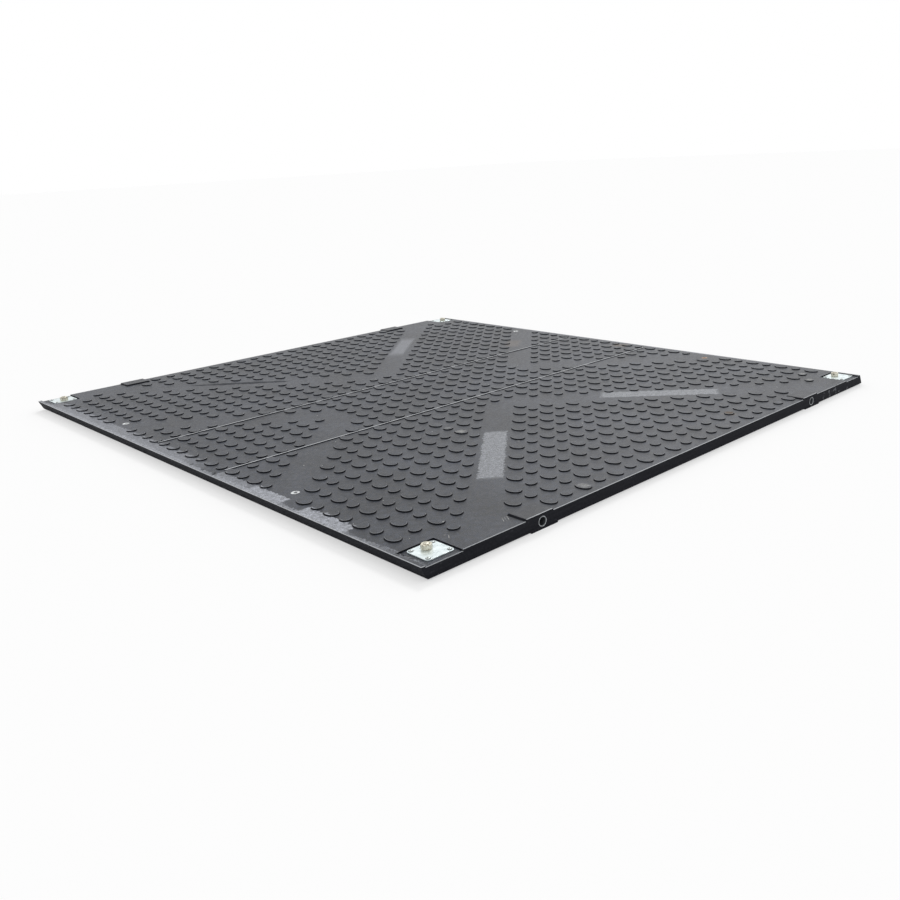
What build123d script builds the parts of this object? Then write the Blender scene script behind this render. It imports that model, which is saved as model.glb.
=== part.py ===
from build123d import *
from math import atan2, degrees
import os

# Ground protection mat: one heavy moulded polyethylene sheet with a chevron tread, steel corner
# plates with joining bolts, and steel-lined lifting holes in the two short edges.
# Millimetres. X runs across the mat, Y along it, Z up. The origin is the bottom centre.

# Sheet
LENGTH = 3000.0
WIDTH = 2540.0
SHEET_T = 42.0
LAP_RUN = 18.0  # how far each long edge leans over the sheet's thickness

# Tread: a square grid of studs, large oval and small round ones by turns
PITCH = 80.0
OVAL_ACROSS = 42.0
OVAL_ALONG = 62.0
ROUND_D = 37.0
STUD_H = 4.0
MARGIN = 10.0  # least plain border between the outer cells of the grid and an edge
CHEVRON_REACH = 12  # studs off the centre line where a chevron's plain band meets a short edge
SIDE_REACH = 8  # studs off the middle row where a side band meets a long edge
SWAP_REACH = 5  # studs from the centre, along the centre column, where oval and round change places

# Mould joints: two low ridges across the tread
SEAM_OFFSET = 3.5 * PITCH
SEAM_W = 4.0
SEAM_H = 2.0
SEAM_INSET = 60.0

# Steel sleeves in the short edges
SLEEVE_INSET = 460.0  # from a long edge's outer reach
SLEEVE_OD = 34.0
SLEEVE_BORE = 28.0
SLEEVE_L = 80.0
SLEEVE_CLEARANCE = 0.1

# Pads that thicken the sheet above and below each sleeve
PAD_W = 118.0
PAD_DEPTH = 84.0
PAD_RISE = 6.0
PAD_DROP = 5.0
PAD_SLOPE = 4.0

# Corner pockets, open to the short edges, with a rim beside the long ones
POCKET_DEPTH = 5.0
POCKET_RIM = 16.0
POCKET_ROOM_X = 8.0  # between the plate and the pocket's inner walls
POCKET_ROOM_Y = 9.0

# Corner plates
PLATE_SIZE = 100.0
PLATE_T = 4.0
PLATE_CORNER_R = 12.0
PLATE_INSET_X = 90.0
PLATE_INSET_Y = 74.0

# Plate screws
SCREW_SPACING = 77.0
SCREW_D = 6.0
SCREW_L = 22.0
SCREW_HEAD_D = 13.0
SCREW_HEAD_H = 3.0
SCREW_CLEARANCE = 0.2
SCREW_SIDES = 6
SCREW_HEAD_SIDES = 8

# Joining bolts and their nuts
BOLT_INBOARD = 16.0  # from the plate's centre towards the middle of the mat
BOLT_D = 20.0
BOLT_HEAD_AF = 30.0
BOLT_HEAD_H = 12.5
BOLT_PROUD = 2.0
BOLT_SIDES = 12
NUT_AF = 30.0
NUT_H = 16.0
NUT_CLEARANCE = 0.2
HEAD_CLEARANCE = 0.3

# Ring inserts in the long margins, where the side bands leave them room
RING_INSET = 100.0
RING_ROW = SIDE_REACH + 0.7  # rows from the middle
RING_OD = 30.0
RING_BORE = 12.0
RING_T = 3.0
RING_CLEARANCE = 0.1
RING_SIDES = 12

# Levels
SHEET_BOTTOM = PAD_DROP
SHEET_TOP = SHEET_BOTTOM + SHEET_T
POCKET_FLOOR = SHEET_TOP - POCKET_DEPTH
PLATE_TOP = POCKET_FLOOR + PLATE_T
BORE_Z = SHEET_BOTTOM + SHEET_T / 2

# Places, as distances from the centre lines
HALF_W = WIDTH / 2
HALF_L = LENGTH / 2
SLEEVE_X = HALF_W - SLEEVE_INSET
PLATE_X = HALF_W - PLATE_INSET_X
PLATE_Y = HALF_L - PLATE_INSET_Y
POCKET_X = PLATE_X - PLATE_SIZE / 2 - POCKET_ROOM_X
POCKET_Y = PLATE_Y - PLATE_SIZE / 2 - POCKET_ROOM_Y
RING_X = HALF_W - RING_INSET
RING_Y = RING_ROW * PITCH

# Studs counted from the centre one outwards, as many as the flat top has room for
OFF_COLUMNS = int((HALF_W - LAP_RUN - MARGIN) / PITCH - 0.5)
OFF_ROWS = int((HALF_L - MARGIN) / PITCH - 0.5)

SIDES = (-1, 1)
CORNER_NAMES = {(-1, -1): "near_left", (1, -1): "near_right", (-1, 1): "far_left", (1, 1): "far_right"}
CORNERS = list(CORNER_NAMES)
SHORT_EDGES = {-1: "near", 1: "far"}


def stud_is_oval(column, row):
    """Oval and round studs alternate, and change places along the middle of the centre column."""
    even = (column + row) % 2 == (OFF_COLUMNS + OFF_ROWS) % 2
    if column == 0 and abs(row) <= SWAP_REACH:
        return not even
    return even


def in_plain_band(column, row):
    """Plain bands, two studs wide, run at 45 degrees from each edge to the mat's centre lines."""
    from_side = OFF_COLUMNS - abs(column)
    from_end = OFF_ROWS - abs(row)
    chevron = abs(column) + from_end in (CHEVRON_REACH, CHEVRON_REACH + 1)
    side_band = abs(row) + from_side in (SIDE_REACH, SIDE_REACH + 1)
    return (chevron and from_end <= CHEVRON_REACH) or (side_band and from_side <= SIDE_REACH)


def pad_centre(sx, level_shift):
    """The pads above a sleeve shift one way, and those below it the other, with the edges' lean."""
    return sx * SLEEVE_X + level_shift * LAP_RUN / 2


def stud_fits(x, y):
    """A stud stays clear of the corner pockets and of the lifting pads."""
    reach_x = OVAL_ACROSS / 2
    reach_y = OVAL_ALONG / 2
    in_pocket = abs(x) + reach_x > POCKET_X and abs(y) + reach_y > POCKET_Y
    beside_pad = min(abs(x - pad_centre(sx, -1)) for sx in SIDES) < PAD_W / 2 + reach_x
    on_pad = beside_pad and abs(y) + reach_y > HALF_L - PAD_DEPTH
    return not in_pocket and not on_pad


def stud_places():
    """Centre of each stud, with whether it is an oval one."""
    places = []
    for column in range(-OFF_COLUMNS, OFF_COLUMNS + 1):
        for row in range(-OFF_ROWS, OFF_ROWS + 1):
            x = column * PITCH
            y = row * PITCH
            if stud_fits(x, y) and not in_plain_band(column, row):
                places.append((x, y, stud_is_oval(column, row)))
    return places


def stud_corners(x, y, oval):
    """Four corners of a stud's foot, on the axes of its oval or circle."""
    half_x = (OVAL_ACROSS if oval else ROUND_D) / 2
    half_y = (OVAL_ALONG if oval else ROUND_D) / 2
    return [(x + half_x, y), (x, y + half_y), (x - half_x, y), (x, y - half_y)]


def flat_face(points):
    """A flat face through the given corners."""
    return Face(Wire.make_polygon(points, close=True))


def slab():
    """The plain sheet: a lapping section with leaning long edges, square at the short ends."""
    section = Polyline(
        (-HALF_W, SHEET_TOP),
        (HALF_W - LAP_RUN, SHEET_TOP),
        (HALF_W, SHEET_BOTTOM),
        (-HALF_W + LAP_RUN, SHEET_BOTTOM),
        close=True,
    )
    return extrude(Plane.XZ * make_face(section.edges()), amount=HALF_L, both=True)


def lifting_pads(sx, sy):
    """Low pads with sloped sides above and below a sleeve, cut off flush with the short edge."""
    slope = degrees(atan2(PAD_SLOPE, PAD_RISE))
    outline = Rectangle(PAD_W, 2 * PAD_DEPTH)
    above = extrude(outline, amount=PAD_RISE, taper=slope)
    below = Rot(180, 0, 0) * extrude(outline, amount=PAD_DROP, taper=slope)
    above = Pos(pad_centre(sx, -1), sy * HALF_L, SHEET_TOP) * above
    below = Pos(pad_centre(sx, 1), sy * HALF_L, SHEET_BOTTOM) * below
    inside = Box(WIDTH, LENGTH, 4 * SHEET_T)
    return [above & inside, below & inside]


def seam_ridge(side):
    """A low ridge left by the joint between two mould plates."""
    span = WIDTH - LAP_RUN - 2 * SEAM_INSET
    ridge = Box(span, SEAM_W, SEAM_H, align=(Align.CENTER, Align.CENTER, Align.MIN))
    return Pos(-LAP_RUN / 2, side * SEAM_OFFSET, SHEET_TOP) * ridge


def corner_pocket(sx, sy):
    """The shallow recess of a corner plate: a rim closes it beside the long edge's top line."""
    top_edge = HALF_W - (LAP_RUN if sx > 0 else 0)
    reach_x = top_edge - POCKET_RIM - POCKET_X
    reach_y = HALF_L - POCKET_Y
    recess = Box(reach_x, reach_y, POCKET_DEPTH, align=(Align.CENTER, Align.CENTER, Align.MIN))
    return Pos(sx * (POCKET_X + reach_x / 2), sy * (POCKET_Y + reach_y / 2), POCKET_FLOOR) * recess


def screw_places(sx, sy):
    """The four screws of one corner plate."""
    half = SCREW_SPACING / 2
    return [(sx * PLATE_X + ox * half, sy * PLATE_Y + oy * half) for ox, oy in CORNERS]


def bolt_place(sx, sy):
    """The joining bolt stands inboard of its plate's centre."""
    return sx * PLATE_X, sy * (PLATE_Y - BOLT_INBOARD)


def prism(across_flats, height, sides):
    """An upright bar with a regular outline, which stands on the XY plane."""
    outline = RegularPolygon(radius=across_flats / 2, side_count=sides, major_radius=False)
    return extrude(outline, amount=height)


def upright(x, y, z, solid):
    """A solid that is drawn on the XY plane, set down at a place."""
    return Pos(x, y, z) * solid


def in_short_edge(sx, sy, length, bar):
    """A cylinder laid along Y at mid-thickness, from a short edge inwards."""
    return Pos(sx * SLEEVE_X, sy * (LENGTH - length) / 2, BORE_Z) * Rot(90, 0, 0) * bar


def screw_hole(depth):
    """A hole for a plate screw, in a plate or in the sheet under it."""
    return prism(SCREW_D + 2 * SCREW_CLEARANCE, depth, SCREW_SIDES)


def bolt_hole(depth):
    """A hole for a joining bolt, in a plate or in a nut."""
    return prism(BOLT_D + 2 * NUT_CLEARANCE, depth, BOLT_SIDES)


def seats(sx, sy):
    """What one corner's hardware takes out of the sheet."""
    pilot_depth = SCREW_L - PLATE_T
    pilot = screw_hole(pilot_depth)
    cuts = [corner_pocket(sx, sy)]
    cuts += [upright(x, y, POCKET_FLOOR - pilot_depth, pilot) for x, y in screw_places(sx, sy)]
    head_seat = prism(BOLT_HEAD_AF + 2 * HEAD_CLEARANCE, BOLT_HEAD_H, 6)
    cuts.append(upright(*bolt_place(sx, sy), POCKET_FLOOR - BOLT_HEAD_H, head_seat))
    bore = Cylinder(SLEEVE_OD / 2 + SLEEVE_CLEARANCE, SLEEVE_L)
    cuts.append(in_short_edge(sx, sy, SLEEVE_L, bore))
    ring_seat = prism(RING_OD + 2 * RING_CLEARANCE, RING_T, RING_SIDES)
    cuts.append(upright(sx * RING_X, sy * RING_Y, SHEET_TOP - RING_T, ring_seat))
    return cuts


def sheet_without_tread():
    """The sheet with its pads, seam ridges and the seats of all its hardware."""
    added = [pad for sx, sy in CORNERS for pad in lifting_pads(sx, sy)]
    added += [seam_ridge(side) for side in SIDES]
    cuts = [cut for sx, sy in CORNERS for cut in seats(sx, sy)]
    return slab() + added - cuts


def mat_panel():
    """The moulded sheet: its top face opens under each stud, and the stud's four sides close it."""
    faces = sheet_without_tread().faces()
    at_top = [f for f in faces if abs(f.center().Z - SHEET_TOP) < 0.001 and f.normal_at().Z > 0.999]
    top = max(at_top, key=lambda face: face.area)
    shell = [face for face in faces if not face.is_same(top)]
    feet = []
    for x, y, oval in stud_places():
        corners = [(cx, cy, SHEET_TOP) for cx, cy in stud_corners(x, y, oval)]
        peak = (x, y, SHEET_TOP + STUD_H)
        feet.append(Wire.make_polygon(corners, close=True))
        shell += [flat_face([corners[i], corners[(i + 1) % 4], peak]) for i in range(4)]
    shell.append(Face(top.outer_wire(), list(top.inner_wires()) + feet))
    return Solid(Shell(shell))


def corner_plate(sx, sy):
    """A zinc-plated steel plate with rounded corners, four screw holes and the bolt's hole."""
    plate = extrude(RectangleRounded(PLATE_SIZE, PLATE_SIZE, PLATE_CORNER_R), amount=PLATE_T)
    plate = upright(sx * PLATE_X, sy * PLATE_Y, POCKET_FLOOR, plate)
    cuts = [upright(x, y, POCKET_FLOOR, screw_hole(PLATE_T)) for x, y in screw_places(sx, sy)]
    cuts.append(upright(*bolt_place(sx, sy), POCKET_FLOOR, bolt_hole(PLATE_T)))
    return plate - cuts


def plate_screw():
    """A button-head screw, drawn with the underside of its head on the XY plane."""
    shank = Pos(0, 0, -SCREW_L) * prism(SCREW_D, SCREW_L, SCREW_SIDES)
    outline = RegularPolygon(radius=SCREW_HEAD_D / 2, side_count=SCREW_HEAD_SIDES)
    return shank + extrude(outline, amount=SCREW_HEAD_H, taper=25)


def plate_screws(sx, sy):
    """The four screws of one corner plate."""
    screw = plate_screw()
    return Compound(children=[upright(x, y, PLATE_TOP, screw) for x, y in screw_places(sx, sy)])


def joining_bolt(sx, sy):
    """A hexagon bolt held head down between the sheet and its plate."""
    shank = prism(BOLT_D, PLATE_T + NUT_H + BOLT_PROUD, BOLT_SIDES)
    head = Pos(0, 0, -BOLT_HEAD_H) * prism(BOLT_HEAD_AF, BOLT_HEAD_H, 6)
    return upright(*bolt_place(sx, sy), POCKET_FLOOR, shank + head)


def joining_nut(sx, sy):
    """The nut on the joining bolt, seated on the plate."""
    nut = prism(NUT_AF, NUT_H, 6) - bolt_hole(NUT_H)
    return upright(*bolt_place(sx, sy), PLATE_TOP, nut)


def lifting_sleeves(sy):
    """The two steel tubes of a short edge, flush with the edge of the sheet."""
    tube = Cylinder(SLEEVE_OD / 2, SLEEVE_L) - Cylinder(SLEEVE_BORE / 2, SLEEVE_L)
    return Compound(children=[in_short_edge(sx, sy, SLEEVE_L, tube) for sx in SIDES])


def ring_insert(sx, sy):
    """A flush steel ring let into the margin of the tread."""
    ring = prism(RING_OD, RING_T, RING_SIDES) - prism(RING_BORE, RING_T, RING_SIDES)
    return upright(sx * RING_X, sy * RING_Y, SHEET_TOP - RING_T, ring)


def write(name, solid):
    """One file for each separate piece, or for a set of like pieces."""
    export_step(solid, f"parts/{name}.step")


os.makedirs("parts", exist_ok=True)
write("mat_panel", mat_panel())
for side, name in SHORT_EDGES.items():
    write(f"lifting_sleeves_{name}", lifting_sleeves(side))
for corner, name in CORNER_NAMES.items():
    write(f"corner_plate_{name}", corner_plate(*corner))
    write(f"plate_screws_{name}", plate_screws(*corner))
    write(f"joining_bolt_{name}", joining_bolt(*corner))
    write(f"joining_nut_{name}", joining_nut(*corner))
    write(f"ring_insert_{name}", ring_insert(*corner))
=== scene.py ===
import math

import bmesh
import bpy
import numpy as np
from mathutils import Matrix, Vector
from mathutils.geometry import delaunay_2d_cdt


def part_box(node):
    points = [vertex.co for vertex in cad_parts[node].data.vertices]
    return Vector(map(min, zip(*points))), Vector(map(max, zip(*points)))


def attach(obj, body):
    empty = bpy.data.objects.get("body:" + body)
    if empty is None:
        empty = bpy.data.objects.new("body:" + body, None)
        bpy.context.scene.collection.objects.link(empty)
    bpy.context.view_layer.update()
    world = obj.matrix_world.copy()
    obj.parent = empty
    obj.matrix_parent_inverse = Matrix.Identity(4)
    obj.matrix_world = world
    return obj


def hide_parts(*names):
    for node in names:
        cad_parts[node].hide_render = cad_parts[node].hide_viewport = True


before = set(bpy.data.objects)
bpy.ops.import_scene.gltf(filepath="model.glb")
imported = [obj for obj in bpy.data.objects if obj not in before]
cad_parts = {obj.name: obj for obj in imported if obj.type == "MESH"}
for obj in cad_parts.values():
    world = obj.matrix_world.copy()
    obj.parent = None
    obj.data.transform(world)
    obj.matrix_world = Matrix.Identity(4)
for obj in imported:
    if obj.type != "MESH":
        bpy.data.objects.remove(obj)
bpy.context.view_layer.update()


# Moulded sheet
# One slab of recycled black polyethylene, pressed in a two-part tool: its studs, seam ridges,
# lifting pads and corner pockets are all one moulding, and its two long edges lean alike, to lap.

sheet_low, sheet_high = (np.array(corner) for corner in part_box("mat_panel"))
HALF_W = float(sheet_high[0])
HALF_L = float(sheet_high[1])
PAD_RISE = 0.006
PAD_DROP = 0.005
TOP = float(sheet_high[2]) - PAD_RISE
BOTTOM = float(sheet_low[2]) + PAD_DROP
LAP_RUN = 0.018
RIGHT_TOP = HALF_W - LAP_RUN

PITCH = 0.080
LAST_COLUMN = 15
LAST_ROW = 18
CHEVRON_REACH = 12
SIDE_REACH = 8
SWAP_REACH = 5
PAD_COLUMNS = (10, 11)
COLUMN_BY_PAD = 9
SEAM_ROWS = (3, 4)
STUD_H = 0.0048
STUD_POINTS = 20
OVAL_HALF = (0.021, 0.031)
ROUND_HALF = (0.0185, 0.0185)
# Each ring of a stud, outside to inside: inset, height, and the painted shade there, darkest in the corner
# at its foot
STUD_PROFILE = ((-0.0045, 0.0, 0.0), (-0.0006, 0.0, 1.0), (0.0001, 0.0040, 0.6), (0.0011, STUD_H, 0.0))
ROOM_BY_SEAM = 0.0042
ROOM_BY_PAD = 0.0008
ROOM_ELSEWHERE = 0.0045

SEAM_Y = 3.5 * PITCH
SEAM_INSET = 0.060
SEAM_FOOT = 0.0039
SEAM_CREST = 0.0030
SEAM_H = 0.003

PAD_HALF = 0.059
PAD_DEPTH = 0.084
PAD_SLOPE = 0.004
POCKET_X = 1.122
POCKET_Y = 1.367
POCKET_DEPTH = 0.005
POCKET_RIM = 0.016
SLEEVE_X = 0.810
SLEEVE_BORE_R = 0.0171
SLEEVE_L = 0.080
SLEEVE_POINTS = 48
RING_X = 1.170
RING_Y = 0.696
RING_R = 0.015
RING_T = 0.003
RING_POINTS = 32
ARRIS_ROUND = 0.0025


def circle(radius, points):
    """The angle goes once round in equal steps; x is radius times cosine, y radius times sine."""
    angle = np.arange(points) * 2 * np.pi / points
    return radius * np.column_stack([np.cos(angle), np.sin(angle)])


def rectangle(x0, x1, y0, y1):
    """Corners of a rectangle, counter-clockwise from the lowest x and y."""
    return np.array([(x0, y0), (x1, y0), (x1, y1), (x0, y1)])


def mirrored(near):
    """Points along the near short edge, and then the same ones along the far edge, backwards."""
    return np.concatenate([near, (near * (1, -1))[::-1]])


def at_height(plan, z):
    """Plan points lifted to one height."""
    return np.column_stack([plan, np.full(len(plan), z)])


def band(lower, upper):
    """Quads between two closed rings of vertex numbers: each joins a vertex to the next one round."""
    rings = [lower, np.roll(lower, -1, -1), np.roll(upper, -1, -1), upper]
    return np.stack(rings, -1).reshape(-1, 4)


def flat_triangles(loops):
    """Triangles of a flat face: its first loop is the outline, and every other loop an opening."""
    starts = np.cumsum([0] + [len(loop) for loop in loops])
    rims = [list(range(a, b)) for a, b in zip(starts[:-1], starts[1:])]
    points = np.concatenate(loops).tolist()
    _, _, triangles, origin, _, _ = delaunay_2d_cdt(points, [], rims, 2, 1e-7)
    source = np.array([ids[0] for ids in origin])
    return source[np.array(triangles)]


def solid_mesh(name, patches, smooth_to=35, painted_shade=None):
    """One closed mesh from patches of vertices and faces, where vertices that share a place, to a
    micrometre, become one. Painted shade is a number for each patch vertex, kept as a mesh attribute: how
    far a material darkens its colour there as a painted shade."""
    vertices = np.concatenate([places for places, _ in patches])
    starts = np.cumsum([0] + [len(places) for places, _ in patches])
    _, first, number = np.unique(
        np.round(vertices * 1e6).astype(np.int64), axis=0, return_index=True, return_inverse=True
    )
    number = number.reshape(-1)
    faces = []
    for start, (_, patch_faces) in zip(starts, patches):
        faces += number[np.asarray(patch_faces) + start].tolist()
    mesh = bpy.data.meshes.new(name)
    mesh.from_pydata(vertices[first].tolist(), [], faces)
    if painted_shade is not None:
        mesh.attributes.new("painted_shade", "FLOAT", "POINT").data.foreach_set("value", painted_shade[first])
    form = bmesh.new()
    form.from_mesh(mesh)
    bmesh.ops.dissolve_degenerate(form, dist=1e-7, edges=form.edges[:])
    bmesh.ops.recalc_face_normals(form, faces=form.faces[:])
    form.to_mesh(mesh)
    form.free()
    mesh.polygons.foreach_set("use_smooth", np.ones(len(mesh.polygons), bool))
    mesh.set_sharp_from_angle(angle=math.radians(smooth_to))
    return mesh


def add_piece(mesh, materials, node_names):
    """An object at the origin, named as its mesh, that rides on the only body and stands for its
    CAD nodes."""
    made = bpy.data.objects.new(mesh.name, mesh)
    bpy.context.scene.collection.objects.link(made)
    for material in materials:
        mesh.materials.append(material)
    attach(made, "root")
    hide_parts(*node_names)
    return made


def stud_plan():
    """A stud stands at each whole pitch, but for the plain bands, the pockets and the pads. It is
    oval where column plus row is odd, and the two kinds change places along the centre column.
    The last array is the width free for the painted shade round each stud's foot."""
    column, row = np.meshgrid(
        np.arange(-LAST_COLUMN, LAST_COLUMN + 1), np.arange(-LAST_ROW, LAST_ROW + 1), indexing="ij"
    )
    from_side = LAST_COLUMN - abs(column)
    from_end = LAST_ROW - abs(row)
    chevron = ((abs(column) + from_end - CHEVRON_REACH) // 2 == 0) & (from_end <= CHEVRON_REACH)
    side_band = ((abs(row) + from_side - SIDE_REACH) // 2 == 0) & (from_side <= SIDE_REACH)
    in_pocket = (from_side <= 1) & (from_end <= 1)
    on_pad = np.isin(abs(column), PAD_COLUMNS) & (from_end == 0)
    oval = (column + row - LAST_COLUMN - LAST_ROW) % 2 == 0
    oval = oval ^ ((column == 0) & (abs(row) <= SWAP_REACH))
    by_pad = (column == COLUMN_BY_PAD) & (from_end == 0)
    by_seam = np.isin(abs(row), SEAM_ROWS)
    room = np.where(by_pad, ROOM_BY_PAD, np.where(by_seam, ROOM_BY_SEAM, ROOM_ELSEWHERE))
    there = ~(chevron | side_band | in_pocket | on_pad)
    centres = np.column_stack([column[there], row[there]]) * PITCH
    return centres, np.where(oval[there][:, None], OVAL_HALF, ROUND_HALF), room[there]


# Studs: rings of an ellipse, drawn in as they rise, and a flat cap
centres, halves, room = stud_plan()
unit_ring = circle(1.0, STUD_POINTS)
stud_rings = []
for inset, rise, _ in STUD_PROFILE:
    drawn_in = np.maximum(inset, -room)[:, None, None]
    plan = centres[:, None, :] + unit_ring * (halves[:, None, :] - drawn_in)
    stud_rings.append(np.insert(plan, 2, TOP + rise, axis=2))
stud_rings = np.stack(stud_rings, 1)
stud_shade = np.broadcast_to(np.array(STUD_PROFILE)[:, 2][None, :, None], stud_rings.shape[:3])
numbers = np.arange(stud_shade.size).reshape(stud_shade.shape)
stud_faces = [band(numbers[:, ring], numbers[:, ring + 1]) for ring in range(len(STUD_PROFILE) - 1)]
stud_faces.append(numbers[:, -1])
sheet = [(stud_rings.reshape(-1, 3), faces) for faces in stud_faces]

# Ring seats, blind and round
ring_centres = np.array([(x, y) for x in (-RING_X, RING_X) for y in (-RING_Y, RING_Y)])
seat_loops = [centre + circle(RING_R, RING_POINTS) for centre in ring_centres]
around = np.arange(RING_POINTS)
for loop in seat_loops:
    floor = at_height(loop, TOP - RING_T)
    sheet.append((np.concatenate([floor, at_height(loop, TOP)]), band(around, around + RING_POINTS)))
    sheet.append((floor, around[None, :]))

# Seam ridges, where the tool's three plates met
seam_loops = []
around = np.arange(4)
drawn_in = SEAM_FOOT - SEAM_CREST
for seam in (-SEAM_Y, SEAM_Y):
    x0 = -HALF_W + SEAM_INSET
    x1 = RIGHT_TOP - SEAM_INSET
    foot = rectangle(x0, x1, seam - SEAM_FOOT, seam + SEAM_FOOT)
    crest = rectangle(x0 + drawn_in, x1 - drawn_in, seam - SEAM_CREST, seam + SEAM_CREST)
    crest = at_height(crest, TOP + SEAM_H)
    seam_loops.append(foot)
    sheet.append((np.concatenate([at_height(foot, TOP), crest]), band(around, around + 4)))
    sheet.append((crest, around[None, :]))

# A drag mark in the far left plain band is a face of its own in the flat top, for its own finish
DRAG_PLACES = ((-0.676, 1.126), (-0.500, 0.946), (-0.330, 0.762))
DRAG_HALF = 0.0220
DRAG_TIP = 0.0008
DRAG_LOPSIDED = 0.8
DRAG_POINTS = 40


def drag_outline():
    """A parabola through three places, with a half width to each side that swells with the sine of
    the way along it, to the power 0.6, and is torn by two shorter waves."""
    way = np.linspace(0, 1, DRAG_POINTS)
    shares = np.column_stack([(1 - way) * (1 - 2 * way), 4 * way * (1 - way), way * (2 * way - 1)])
    line = shares @ np.array(DRAG_PLACES)
    along = np.gradient(line, axis=0)
    along = along / np.linalg.norm(along, axis=1, keepdims=True)
    across = along[:, ::-1] * (-1, 1)
    torn = 1 + 0.20 * np.sin(23 * way) + 0.12 * np.sin(61 * way + 1)
    reach = across * (DRAG_TIP + DRAG_HALF * np.sin(np.pi * way) ** 0.6 * torn)[:, None]
    return np.concatenate([line - reach, (line + DRAG_LOPSIDED * reach)[::-1]])


drag_loop = drag_outline()
sheet.append((at_height(drag_loop, TOP), np.arange(len(drag_loop))[None, :]))

# The top face, notched at the short edges by the pockets and the lifting pads
near = [(-HALF_W, 0), (-HALF_W + POCKET_RIM, 0), (-HALF_W + POCKET_RIM, HALF_L - POCKET_Y)]
near += [(-POCKET_X, HALF_L - POCKET_Y), (-POCKET_X, 0)]
for pad in (-SLEEVE_X - LAP_RUN / 2, SLEEVE_X - LAP_RUN / 2):
    near += [(pad - PAD_HALF, 0), (pad - PAD_HALF, PAD_DEPTH)]
    near += [(pad + PAD_HALF, PAD_DEPTH), (pad + PAD_HALF, 0)]
near += [(POCKET_X, 0), (POCKET_X, HALF_L - POCKET_Y)]
near += [(RIGHT_TOP - POCKET_RIM, HALF_L - POCKET_Y), (RIGHT_TOP - POCKET_RIM, 0), (RIGHT_TOP, 0)]
near = np.array(near) - (0, HALF_L)
top_loops = [mirrored(near), drag_loop] + seat_loops + seam_loops + list(stud_rings[:, 0, :, :2])
sheet.append((at_height(np.concatenate(top_loops), TOP), flat_triangles(top_loops)))

# Corner pockets, each with a floor and three walls, open to its short edge
THREE_WALLS = [(0, 1, 5, 4), (1, 2, 6, 5), (2, 3, 7, 6)]
for side in (-1, 1):
    for x0, x1 in ((-HALF_W + POCKET_RIM, -POCKET_X), (POCKET_X, RIGHT_TOP - POCKET_RIM)):
        plan = rectangle(x0, x1, side * HALF_L, side * POCKET_Y)[[0, 3, 2, 1]]
        floor = at_height(plan, TOP - POCKET_DEPTH)
        sheet.append((np.concatenate([floor, at_height(plan, TOP)]), THREE_WALLS))
        sheet.append((floor, [(0, 1, 2, 3)]))

# Lifting pads above and below each sleeve: sloped on three sides, flush with the short edge
for side in (-1, 1):
    edge = side * HALF_L
    for level, lean, rise in ((TOP, -1, PAD_RISE), (BOTTOM, 1, -PAD_DROP)):
        slope = PAD_SLOPE * abs(rise) / PAD_RISE
        end = edge - side * PAD_DEPTH
        for pad in (-SLEEVE_X + lean * LAP_RUN / 2, SLEEVE_X + lean * LAP_RUN / 2):
            x0 = pad - PAD_HALF
            x1 = pad + PAD_HALF
            foot = rectangle(x0, x1, edge, end)[[0, 3, 2, 1]]
            crest = rectangle(x0 + slope, x1 - slope, edge, end + side * slope)[[0, 3, 2, 1]]
            crest = at_height(crest, level + rise)
            sheet.append((np.concatenate([at_height(foot, level), crest]), THREE_WALLS))
            sheet.append((crest, [(0, 1, 2, 3)]))

# Short edge faces with the blind bores of the sleeves
drop_slope = PAD_SLOPE * PAD_DROP / PAD_RISE
section = [(-HALF_W, TOP), (-HALF_W + POCKET_RIM, TOP), (-HALF_W + POCKET_RIM, TOP - POCKET_DEPTH)]
section += [(-POCKET_X, TOP - POCKET_DEPTH), (-POCKET_X, TOP)]
for pad in (-SLEEVE_X - LAP_RUN / 2, SLEEVE_X - LAP_RUN / 2):
    section += [(pad - PAD_HALF, TOP), (pad - PAD_HALF + PAD_SLOPE, TOP + PAD_RISE)]
    section += [(pad + PAD_HALF - PAD_SLOPE, TOP + PAD_RISE), (pad + PAD_HALF, TOP)]
section += [(POCKET_X, TOP), (POCKET_X, TOP - POCKET_DEPTH)]
section += [(RIGHT_TOP - POCKET_RIM, TOP - POCKET_DEPTH), (RIGHT_TOP - POCKET_RIM, TOP)]
section += [(RIGHT_TOP, TOP), (HALF_W, BOTTOM)]
for pad in (SLEEVE_X + LAP_RUN / 2, -SLEEVE_X + LAP_RUN / 2):
    section += [(pad + PAD_HALF, BOTTOM), (pad + PAD_HALF - drop_slope, BOTTOM - PAD_DROP)]
    section += [(pad - PAD_HALF + drop_slope, BOTTOM - PAD_DROP), (pad - PAD_HALF, BOTTOM)]
section += [(-HALF_W + LAP_RUN, BOTTOM)]
section = np.array(section)
BORE_Z = (TOP + BOTTOM) / 2
bore_loops = [circle(SLEEVE_BORE_R, SLEEVE_POINTS) + (x, BORE_Z) for x in (-SLEEVE_X, SLEEVE_X)]
edge_loops = [section] + bore_loops
edge_triangles = flat_triangles(edge_loops)
edge_plan = np.concatenate(edge_loops)
around = np.arange(SLEEVE_POINTS)
for side in (-1, 1):
    face = np.insert(edge_plan, 1, side * HALF_L, axis=1)
    sheet.append((face, edge_triangles))
    for loop in bore_loops:
        mouth = np.insert(loop, 1, side * HALF_L, axis=1)
        blind = np.insert(loop, 1, side * (HALF_L - SLEEVE_L), axis=1)
        sheet.append((np.concatenate([mouth, blind]), band(around, around + SLEEVE_POINTS)))
        sheet.append((blind, around[None, :]))

# Leaning long edges
for top_x, foot_x in ((-HALF_W, -HALF_W + LAP_RUN), (RIGHT_TOP, HALF_W)):
    leaning = [(top_x, -HALF_L, TOP), (top_x, HALF_L, TOP)]
    leaning += [(foot_x, HALF_L, BOTTOM), (foot_x, -HALF_L, BOTTOM)]
    sheet.append((np.array(leaning), [(0, 1, 2, 3)]))

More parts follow.
